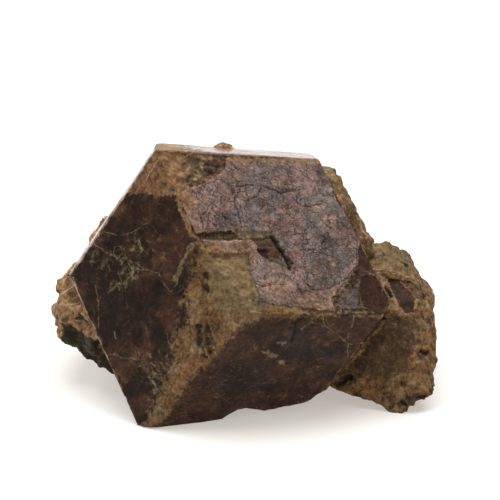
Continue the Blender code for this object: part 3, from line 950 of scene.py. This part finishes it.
def left_rind():
    bm = bmesh.new()
    add_lump(
        bm, (-20.8, 2.2, 9.6), (9.2, 10.5, 9.3), bumpy=0.2, bump=3.5, seed=11.0, grit=0.08,
        blunt=(((-0.56, 0.0, -0.83), 6.1), ((-0.8, 0.6, 0.1), 8.5)),
    )
    for index, (spot, size) in enumerate(RIND_CRUMBS):
        radii = (size, size * 1.15, size * 0.9)
        add_lump(bm, spot, radii, bumpy=0.2, bump=2.5, seed=71.0 + index, grit=0.08)
    _, outward, squares, wobble = surface_fields(bm)
    green = ease(depth_inside(squares + 3 * wobble, GREEN_EDGE), -1.0, 3.0)
    # Painted shade: the faces that turn downward are darkened with the green-black, as shade under the rind.
    under = ease(-outward[:, 2], 0.1, 0.6)
    masks = {
        "sandy": 1 - 0.5 * ease(235 - squares[:, 1], 0, 10),
        "green": np.maximum(green, under),
    }
    return finished("left_rind", bm, masks, rubble_finish())


def broken_facets(seed, size):
    """Blunt facets at random slants, as a mass of matrix breaks."""
    pick = random.Random(seed)
    facets = []
    for _ in range(6):
        slant = Vector([pick.uniform(-1, 1) for _ in range(3)])
        facets.append((slant, size * pick.uniform(0.68, 0.9)))
    return facets


def back_matrix():
    bm = bmesh.new()
    add_lump(
        bm, (0.8, 10.2, 10.0), (21.0, 13.0, 12.5), bumpy=0.22, bump=6.0, seed=21.0, grit=0.2,
        blunt=(((0.1, 0.9, 0.5), 11.0), ((-0.5, 0.8, 0.2), 13.0), ((0.7, 0.7, 0.3), 13.5)),
    )
    for index, (spot, size) in enumerate(MATRIX_MASSES):
        radii = (size * 1.2, size, size * 0.85)
        add_lump(
            bm, spot, radii, blunt=broken_facets(index, size), bumpy=0.2, bump=3.5,
            seed=81.0 + index, detail=5, grit=0.2,
        )
    stand_on_ground(bm)
    places = places_of(bm)
    masks = {"green": ease(grain(places, 5.0, 59.0), 0.1, 0.6)}
    places[:, 2] = np.maximum(places[:, 2], 0.0)
    return finished("back_matrix", bm, masks, rubble_finish())


def top_knob():
    bm = bmesh.new()
    add_lump(
        bm, (-3.2, 6.7, 35.55), (1.75, 1.5, 1.25), bumpy=0.25, bump=1.2, detail=5, grit=0.08
    )
    return finished("top_knob", bm, {"sandy": np.full(len(bm.verts), 0.55)}, rubble_finish())


# ---------------------------------------------------------------- finishes

STONE_IOR = 1.62
SPECULAR_TINT = (1.0, 0.84, 0.70, 1.0)


class Finish:
    """A stone finish in layers. Each layer has a mask, a pattern of colours, a gloss and a relief."""

    def __init__(self, name):
        self.material = bpy.data.materials.new(name)
        self.material.use_nodes = True
        self.tree = self.material.node_tree
        self.shader = self.tree.nodes["Principled BSDF"]
        place = self.node("ShaderNodeTexCoord").outputs["Object"]
        scaled = self.node("ShaderNodeVectorMath", {0: place, "Scale": 1.0 / MM}, operation="SCALE")
        self.place = scaled.outputs[0]
        self.colour = self.rough = self.height = None

    def put(self, node, sockets):
        """Links each socket of a node to the output given for it, or sets it to the value given."""
        for label, value in sockets.items():
            if hasattr(value, "is_output"):
                self.tree.links.new(value, node.inputs[label])
            else:
                node.inputs[label].default_value = value

    def node(self, kind, sockets=(), **settings):
        made = self.tree.nodes.new(kind)
        for label, value in settings.items():
            setattr(made, label, value)
        self.put(made, dict(sockets))
        return made

    def noise(self, size, detail=5.0, rough=0.6, stretch=(1, 1, 1), distort=0.0):
        """Noise from 0 to 1 with bumps of a size in millimetres."""
        scale = [1.0 / (size * s) for s in stretch]
        mapping = self.node("ShaderNodeMapping", {"Vector": self.place, "Scale": scale})
        made = self.node("ShaderNodeTexNoise", {
            "Vector": mapping.outputs[0], "Scale": 1.0, "Detail": detail, "Roughness": rough,
            "Distortion": distort,
        })
        return made.outputs["Fac"]

    def math(self, operation, a, b=0.0, c=0.0):
        return self.node("ShaderNodeMath", enumerate((a, b, c)), operation=operation).outputs[0]

    def fit(self, value, low, high):
        """Rises smoothly from 0 to 1 as the value passes from low to high."""
        sockets = {"Value": value, "From Min": low, "From Max": high}
        return self.node("ShaderNodeMapRange", sockets, interpolation_type="SMOOTHSTEP").outputs[0]

    def spots(self, size, low, high, detail=5.0, rough=0.6):
        """Spots where a noise is high, fading in from low to high."""
        return self.fit(self.noise(size, detail, rough), low, high)

    def mask(self, label):
        return self.node("ShaderNodeAttribute", attribute_name=label).outputs["Fac"]

    def times(self, result, *others):
        for other in others:
            result = self.math("MULTIPLY", result, other)
        return result

    def torn(self, label, size=0.6, tear=0.5, soft=0.15):
        """A mask whose border is torn by fine noise."""
        away = self.math("SUBTRACT", self.noise(size, 6, 0.7), 0.5)
        shifted = self.math("MULTIPLY_ADD", away, tear * 2, self.mask(label))
        return self.fit(shifted, 0.5 - soft, 0.5 + soft)

    def blend(self, factor, a, b, kind="RGBA"):
        made = self.node("ShaderNodeMix", data_type=kind)
        enabled = [index for index, socket in enumerate(made.inputs) if socket.enabled]
        self.put(made, dict(zip(enabled, (factor, a, b))))
        return next(s for s in made.outputs if s.enabled)

    def ramp(self, value, stops):
        made = self.node("ShaderNodeValToRGB", {"Fac": value})
        band = made.color_ramp
        while len(band.elements) < len(stops):
            band.elements.new(0.5)
        for element, (position, colour) in zip(band.elements, stops):
            element.position = position
            element.color = (*colour, 1.0)
        return made.outputs["Color"]

    def lay(self, pattern, relief, *rows):
        """Lays finishes over those before them, all with one pattern and one relief.

        Each row has its colours and its roughness, then the masks that its cover is the product of.
        The relief is a height in millimetres, or a socket.
        """
        for stops, rough, *cover in rows:
            colour = self.ramp(pattern, stops)
            if self.colour is None:
                self.colour, self.rough, self.height = colour, rough, relief
                continue
            mask = self.times(*cover)
            self.colour = self.blend(mask, self.colour, colour)
            self.rough = self.blend(mask, self.rough, rough, "FLOAT")
            self.height = self.blend(mask, self.height, relief, "FLOAT")

    def close(self, specular=0.16):
        relief = {"Distance": MM, "Strength": 1.0, "Height": self.height}
        self.put(self.shader, {
            "Base Color": self.colour, "Roughness": self.rough, "IOR": STONE_IOR,
            "Specular IOR Level": specular, "Specular Tint": SPECULAR_TINT,
            "Normal": self.node("ShaderNodeBump", relief).outputs[0],
        })
        return self.material


# Colours of each finish, each with its place on the pattern from 0 to 1.
CLARET = ((0.36, (0.0095, 0.0042, 0.0030)), (0.50, (0.0230, 0.0088, 0.0060)), (0.64, (0.055, 0.0215, 0.0140)))
SEAL = ((0.36, (0.0044, 0.0022, 0.0016)), (0.50, (0.0104, 0.0049, 0.0034)), (0.64, (0.024, 0.0102, 0.0062)))
LIVER = ((0.36, (0.0099, 0.0047, 0.0037)), (0.50, (0.0209, 0.0101, 0.0075)), (0.64, (0.0407, 0.0196, 0.0135)))
UMBER = ((0.34, (0.0120, 0.0060, 0.0038)), (0.50, (0.0450, 0.0215, 0.0125)), (0.66, (0.105, 0.058, 0.030)))
RUST = ((0.34, (0.0150, 0.0058, 0.0038)), (0.50, (0.0420, 0.0165, 0.0100)), (0.66, (0.080, 0.034, 0.019)))
VIOLET = ((0.36, (0.0085, 0.0052, 0.0052)), (0.50, (0.0165, 0.0105, 0.0105)), (0.64, (0.032, 0.0200, 0.0185)))
PLUM = ((0.34, (0.058, 0.034, 0.027)), (0.48, (0.138, 0.085, 0.071)), (0.64, (0.250, 0.162, 0.134)))
SLATE = ((0.34, (0.046, 0.036, 0.036)), (0.50, (0.098, 0.079, 0.080)), (0.66, (0.165, 0.138, 0.134)))
MOTTLE = (
    (0.40, (0.014, 0.010, 0.008)), (0.47, (0.058, 0.038, 0.024)), (0.53, (0.170, 0.085, 0.034)),
    (0.60, (0.260, 0.185, 0.105)),
)
SAND = (
    (0.34, (0.0324, 0.0171, 0.0074)), (0.43, (0.0972, 0.0514, 0.0212)), (0.54, (0.1836, 0.1102, 0.0477)),
    (0.66, (0.324, 0.2193, 0.1113)),
)
OCHRE = ((0.36, (0.085, 0.036, 0.014)), (0.50, (0.19, 0.090, 0.036)), (0.64, (0.31, 0.185, 0.088)))
MOSS = ((0.36, (0.016, 0.013, 0.008)), (0.50, (0.050, 0.039, 0.022)), (0.64, (0.125, 0.101, 0.060)))
STRAW = ((0.36, (0.105, 0.078, 0.044)), (0.50, (0.215, 0.160, 0.094)), (0.64, (0.36, 0.285, 0.18)))
KHAKI = ((0.34, (0.055, 0.042, 0.018)), (0.46, (0.130, 0.100, 0.046)), (0.60, (0.250, 0.200, 0.110)))
CREAM = ((0.36, (0.19, 0.120, 0.085)), (0.50, (0.33, 0.235, 0.185)), (0.64, (0.50, 0.40, 0.34)))
BISCUIT = (
    (0.37, (0.0749, 0.0347, 0.0147)), (0.48, (0.2408, 0.1275, 0.0549)),
    (0.60, (0.4494, 0.2805, 0.1519)),
)
PITCH = ((0.36, (0.0060, 0.0055, 0.0038)), (0.50, (0.019, 0.0155, 0.0090)), (0.64, (0.065, 0.051, 0.030)))
INK = ((0.36, (0.0060, 0.0042, 0.0035)), (0.64, (0.020, 0.012, 0.009)))
OLIVE = ((0.36, (0.060, 0.036, 0.015)), (0.50, (0.135, 0.085, 0.037)), (0.64, (0.22, 0.150, 0.075)))


def web(f, size, width, bend):
    """A net of fine lines with irregular meshes of a size in millimetres."""
    warp = f.node("ShaderNodeTexNoise", {"Vector": f.place, "Scale": 1.6 / size, "Detail": 5.0})
    shifts = {0: warp.outputs["Color"], 1: [bend * size / 3.0] * 3, 2: f.place}
    bent = f.node("ShaderNodeVectorMath", shifts, operation="MULTIPLY_ADD").outputs[0]
    sockets = {"Vector": bent, "Scale": 1.0 / size}
    net = f.node("ShaderNodeTexVoronoi", sockets, feature="DISTANCE_TO_EDGE")
    return f.fit(net.outputs["Distance"], width / size, 0.2 * width / size)


def streaks(f, size, width, stretch=(1, 1, 1)):
    """Fine wandering lines, drawn where a noise crosses its middle."""
    away = f.math("ABSOLUTE", f.math("SUBTRACT", f.noise(size, 4, 0.55, stretch), 0.5))
    return f.fit(away, width, 0.15 * width)


def bare_faces(f, mixed, middle, smooth):
    """Dark red brown crystal with grazes, hairlines and a pale haze."""
    lower, haze = f.mask("lower"), f.mask("haze")
    f.lay(
        mixed, smooth,
        (SEAL, 0.34),
        (LIVER, 0.40, lower),
        (VIOLET, 0.36, f.mask("purple")),
        (RUST, 0.38, f.torn("red", 2.0, 0.4, soft=0.4)),
    )
    f.rough = f.blend(f.spots(2.2, 0.42, 0.6, 6, 0.65), f.rough, 0.52, "FLOAT")
    grazed = streaks(f, 0.9, 0.012, stretch=(4.0, 1.5, 1))
    f.lay(
        middle, smooth,
        (SAND, 0.5, lower, grazed, f.spots(2.6, 0.44, 0.58), 0.5),
        (SAND, 0.55, web(f, 4.2, 0.10, 0.9), f.spots(5.0, 0.50, 0.66), 0.38),
        (SAND, 0.55, web(f, 1.9, 0.07, 1.2), f.spots(4.0, 0.54, 0.68), 0.30),
        (KHAKI, 0.6, f.torn("haze", 1.0, 0.5, soft=0.4), f.fit(middle, 0.42, 0.66), 0.4),
        (STRAW, 0.6, haze, web(f, 2.6, 0.10, 1.2), 0.55),
        (STRAW, 0.6, haze, streaks(f, 1.7, 0.018), 0.4),
    )


def broken_plate(f, toned, middle, fine):
    """The plum and slate skin of the upper face, crazed with dark lines."""
    plate, left_part = f.torn("plate", 0.5, 0.3), f.mask("left part")
    skin = f.math("MULTIPLY_ADD", middle, 0.20, f.math("MULTIPLY", fine, 0.06))
    grey = f.math("SUBTRACT", f.noise(3.6), f.math("MULTIPLY", left_part, 0.08))
    f.lay(toned, skin, (PLUM, 0.50, plate), (SLATE, 0.48, plate, f.fit(grey, 0.42, 0.58), 0.8))
    f.lay(middle, skin, (OCHRE, 0.55, plate, f.spots(2.4, 0.57, 0.68), 0.3))
    lined = f.times(plate, f.spots(2.0, 0.40, 0.58))
    upright = streaks(f, 0.9, 0.020, stretch=(1, 3.0, 3.0))
    crosswise = streaks(f, 1.0, 0.016, stretch=(3.0, 1, 1))
    f.lay(
        middle, 0.0,
        (INK, 0.6, lined, web(f, 1.7, 0.08, 3.6), 0.85),
        (INK, 0.6, plate, web(f, 0.9, 0.06, 3.2), f.spots(1.4, 0.46, 0.58), 0.5),
        (INK, 0.6, plate, web(f, 3.4, 0.07, 2.6), f.spots(2.8, 0.42, 0.54), 0.7),
        (INK, 0.6, lined, upright, left_part, 0.55),
        (INK, 0.6, plate, upright, f.spots(1.7, 0.50, 0.60), 0.5),
        (INK, 0.6, plate, crosswise, f.spots(1.9, 0.50, 0.60), 0.6),
    )
    f.lay(fine, skin, (STRAW, 0.4, plate, f.spots(0.4, 0.60, 0.68, 4, 0.6), 0.5))
    f.lay(middle, skin, (BISCUIT, 0.55, f.torn("blush", 0.7, 0.8, soft=0.45), 0.24))


def earthy_ground(f, earthy, middle, speckle, gritty):
    """Tan, mossy and mottled ground where the crystal's skin is gone."""
    f.lay(middle, gritty, (RUST, 0.5, f.torn("pit", 0.5, 0.4)))
    tan = f.torn("tan", 0.6, 0.7, soft=0.36)
    f.lay(
        earthy, gritty,
        (SAND, 0.80, tan),
        (OCHRE, 0.80, tan, f.spots(3.2, 0.48, 0.58, 6, 0.7), 0.32),
        (MOSS, 0.7, tan, f.spots(2.6, 0.50, 0.60, 7, 0.75), 0.33),
        (KHAKI, 0.7, tan, f.spots(4.4, 0.47, 0.57, 7, 0.7), 0.4),
    )
    f.lay(
        middle, gritty,
        (SEAL, 0.7, tan, f.spots(0.45, 0.57, 0.63, 5, 0.7), 0.42),
        (STRAW, 0.7, tan, f.spots(0.35, 0.59, 0.66, 4, 0.6), 0.5),
    )
    level = f.noise(1.2, 6, 0.65, stretch=(4.0, 1, 1))
    banded = f.math("MULTIPLY_ADD", level, 0.5, f.math("MULTIPLY", speckle, 0.5))
    f.lay(banded, gritty, (KHAKI, 0.8, f.torn("panel", 1.0, 0.6, soft=0.4), 0.45))
    f.lay(f.noise(1.5, 8, 0.72), gritty, (MOTTLE, 0.7, f.torn("patch", 0.5, 0.4), 0.9))
    f.lay(middle, gritty, (OCHRE, 0.7, f.torn("rim", 0.5, 0.6, soft=0.4), 0.6))


def marks(f, middle, speckle, smooth, gritty):
    """Red corner facets, moss, pale bands, veins, painted highlights along the edges, cracks, and painted
    shade in the pit's hole, the slot and at the panel's step.
    """
    f.lay(middle, smooth, (CLARET, 0.34, f.torn("corner", 0.4, 0.5, soft=0.25)))
    f.lay(middle, gritty, (MOSS, 0.65, f.torn("moss", 0.8, 0.5, soft=0.3)))
    f.lay(speckle, gritty, (KHAKI, 0.7, f.torn("pale", 0.4, 0.8, soft=0.35), 0.6))
    f.lay(
        middle, smooth,
        (STRAW, 0.6, f.torn("vein", 0.3, 0.3, soft=0.4), 0.52),
        # Painted highlight: cream lines along the edges.
        (CREAM, 0.85, f.torn("worn", 0.3, 0.4, soft=0.3), 0.85),
        # Ink for the cracks and stains, and painted shade in the pit's hole, the slot and along the panel's
        # step.
        (INK, 0.7, f.mask("cracks_and_shade"), 0.92),
    )


def top_film(f, toned, middle, smooth):
    """The glossy film on the top face, ruled with pale and grey lines."""
    rules = f.noise(1.1, 5, 0.6, stretch=(12, 1, 1))
    wide_rules = f.noise(3.4, 4, 0.55, stretch=(7, 1, 1))
    film = f.times(f.mask("top"), f.math("SUBTRACT", 1.0, f.mask("tan")))
    f.lay(toned, smooth, (PLUM, 0.3, film, 0.9))
    f.lay(
        middle, smooth,
        (CREAM, 0.3, film, f.fit(rules, 0.44, 0.62), 0.5),
        (SLATE, 0.3, film, f.fit(rules, 0.58, 0.64), 0.6),
        (SLATE, 0.3, film, f.fit(wide_rules, 0.50, 0.58), 0.5),
    )
    f.rough = f.blend(film, f.rough, 0.15, "FLOAT")


def garnet_finish():
    f = Finish("garnet_faces")
    broad = f.noise(4.0, 6, 0.62, distort=0.5)
    middle = f.noise(1.0, 8, 0.72)
    fine = f.noise(0.3, 5, 0.65)
    fibre = f.noise(0.4, 7, 0.75, stretch=(1, 1.4, 2.4))
    speckle = f.noise(0.5, 6, 0.75)
    mixed = f.math("MULTIPLY_ADD", middle, 0.7, f.math("MULTIPLY_ADD", broad, 0.8, -0.25))
    earthy = f.math("MULTIPLY_ADD", speckle, 0.5, f.math("MULTIPLY_ADD", broad, 0.55, -0.25))
    earthy = f.math("MULTIPLY_ADD", fibre, 0.45, earthy)
    toned = f.math("MULTIPLY_ADD", f.mask("cell"), 0.05, f.math("SUBTRACT", mixed, 0.025))
    toned = f.math("MULTIPLY_ADD", f.math("SUBTRACT", fine, 0.5), 0.5, toned)
    smooth = f.math("MULTIPLY", fine, 0.02)
    gritty = f.math("MULTIPLY", middle, 0.18)
    bare_faces(f, mixed, middle, smooth)
    broken_plate(f, toned, middle, fine)
    earthy_ground(f, earthy, middle, speckle, gritty)
    marks(f, middle, speckle, smooth, gritty)
    top_film(f, toned, middle, smooth)
    return f.close(specular=0.12)


def side_finish():
    f = Finish("side_garnet_skin")
    middle = f.noise(1.0, 8, 0.72)
    smooth = f.math("MULTIPLY", f.noise(0.35, 4, 0.6), 0.03)
    gritty = f.math("MULTIPLY", f.noise(0.6, 8, 0.72), 0.42)
    brown, red = f.torn("brown", 1.2, 0.8, soft=0.35), f.mask("red")
    f.lay(
        middle, gritty,
        (SAND, 0.78),
        (OCHRE, 0.78, f.spots(2.6, 0.50, 0.58, 6, 0.65), 0.8),
        (RUST, 0.6, f.spots(1.4, 0.54, 0.60, 7, 0.7)),
        (OLIVE, 0.78, f.torn("olive", 1.0, 0.5)),
        (MOSS, 0.7, f.spots(1.9, 0.54, 0.62, 7, 0.7), 0.7),
    )
    f.lay(f.noise(0.8, 8, 0.75), gritty, (UMBER, 0.55, brown, 0.88))
    f.lay(
        middle, gritty,
        (SAND, 0.7, brown, f.spots(0.9, 0.54, 0.62, 7, 0.75), 0.6),
        (OLIVE, 0.7, brown, f.spots(2.2, 0.50, 0.62, 6, 0.7), 0.5),
    )
    f.lay(
        middle, smooth,
        (CLARET, 0.85, f.torn("red", 0.6, 0.5, soft=0.45)),
        # Painted light: paler sand on the red facet that faces the light.
        (SAND, 0.8, f.mask("painted_light"), red, 0.36),
    )
    f.lay(f.noise(0.4, 7, 0.7, stretch=(2.5, 1, 1)), gritty, (SAND, 0.78, f.torn("seam", 0.6, 0.6)))
    f.lay(
        middle, gritty,
        (STRAW, 0.7, f.spots(0.35, 0.59, 0.66, 4, 0.6), f.math("SUBTRACT", 1.0, red), 0.5),
        (SEAL, 0.7, f.spots(0.55, 0.57, 0.63, 5, 0.7), 0.5),
    )
    # Ink for the dark spots and the foot, with painted shade in the crevice beside the main crystal.
    f.lay(middle, smooth, (INK, 0.7, f.mask("dark")))
    return f.close()


def rubble_finish():
    name = "rubble"
    if name in bpy.data.materials:
        return bpy.data.materials[name]
    f = Finish(name)
    middle = f.noise(0.9, 8, 0.74)
    coarse = f.noise(2.4, 5, 0.6)
    sandy = f.torn("sandy", 0.8, 0.5)
    f.lay(
        middle, f.math("MULTIPLY", f.noise(0.5, 8, 0.72), 0.35),
        (SAND, 0.85),
        (RUST, 0.8, f.fit(coarse, 0.45, 0.58), 0.7),
        (OLIVE, 0.8, f.torn("olive", 0.8, 0.4)),
        (BISCUIT, 0.85, sandy),
        (OCHRE, 0.85, sandy, f.fit(coarse, 0.46, 0.58), 0.6),
        (KHAKI, 0.85, sandy, f.spots(2.0, 0.52, 0.60, 6, 0.7), 0.5),
        (UMBER, 0.8, f.spots(0.5, 0.57, 0.63, 5, 0.7), 0.55),
        (CREAM, 0.8, f.spots(0.4, 0.58, 0.65, 4, 0.6), 0.5),
        # Dark green-black crust, and on the rind painted shade on the faces that turn downward.
        (PITCH, 0.6, f.torn("green", 1.0, 0.5)),
    )
    return f.close()


# ---------------------------------------------------------------- floor, light and camera

FLOOR_SIZE = 6.0
FLOOR_COLOUR = (0.43, 0.42, 0.41, 1)
FLOOR_GLOW = (1.0, 0.93, 0.86, 1)
FLOOR_GLOW_STRENGTH = 0.43
ROOM_COLOUR = (1.0, 0.99, 0.97, 1)
ROOM_STRENGTH = 0.55
LIT_SPOT = (0.0, 0.0, 0.015)
LAMPS = (  # name, place, size and power
    ("overhead", (0.01, 0.07, 0.42), (0.45, 0.35), 3.6),
    ("back left", (-0.32, 0.26, 0.22), (0.25, 0.25), 1.6),
)


def floor():
    bm = bmesh.new()
    bmesh.ops.create_grid(bm, x_segments=1, y_segments=1, size=FLOOR_SIZE / 2)
    mesh = bpy.data.meshes.new("floor")
    bm.to_mesh(mesh)
    bm.free()
    ground = bpy.data.objects.new("floor", mesh)
    bpy.context.scene.collection.objects.link(ground)
    paint = bpy.data.materials.new("floor_paper")
    paint.use_nodes = True
    shader = paint.node_tree.nodes["Principled BSDF"]
    shader.inputs["Base Color"].default_value = FLOOR_COLOUR
    shader.inputs["Roughness"].default_value = 0.9
    shader.inputs["Emission Color"].default_value = FLOOR_GLOW
    shader.inputs["Emission Strength"].default_value = FLOOR_GLOW_STRENGTH
    mesh.materials.append(paint)


def soft_light(name, place, size, power):
    lamp = bpy.data.lights.new(name, "AREA")
    lamp.shape = "RECTANGLE"
    lamp.size, lamp.size_y = size
    lamp.energy = power
    thing = bpy.data.objects.new(name, lamp)
    thing.location = place
    thing.rotation_euler = (Vector(LIT_SPOT) - Vector(place)).to_track_quat("-Z", "Y").to_euler()
    bpy.context.scene.collection.objects.link(thing)


def studio():
    scene = bpy.context.scene
    world = bpy.data.worlds.new("studio")
    world.use_nodes = True
    room = world.node_tree.nodes["Background"]
    room.inputs["Color"].default_value = ROOM_COLOUR
    room.inputs["Strength"].default_value = ROOM_STRENGTH
    scene.world = world
    for lamp in LAMPS:
        soft_light(*lamp)
    scene.view_settings.view_transform = "Standard"
    lens = bpy.data.cameras.new("eye")
    lens.lens, lens.sensor_width = LENS, SENSOR
    lens.clip_start = 0.01
    eye = bpy.data.objects.new("eye", lens)
    eye.location = EYE
    eye.rotation_euler = (math.pi / 2 - RISE, 0, 0)
    scene.collection.objects.link(eye)
    scene.camera = eye


floor()
studio()
main_garnet()
side_garnet()
right_growth()
left_rind()
back_matrix()
top_knob()
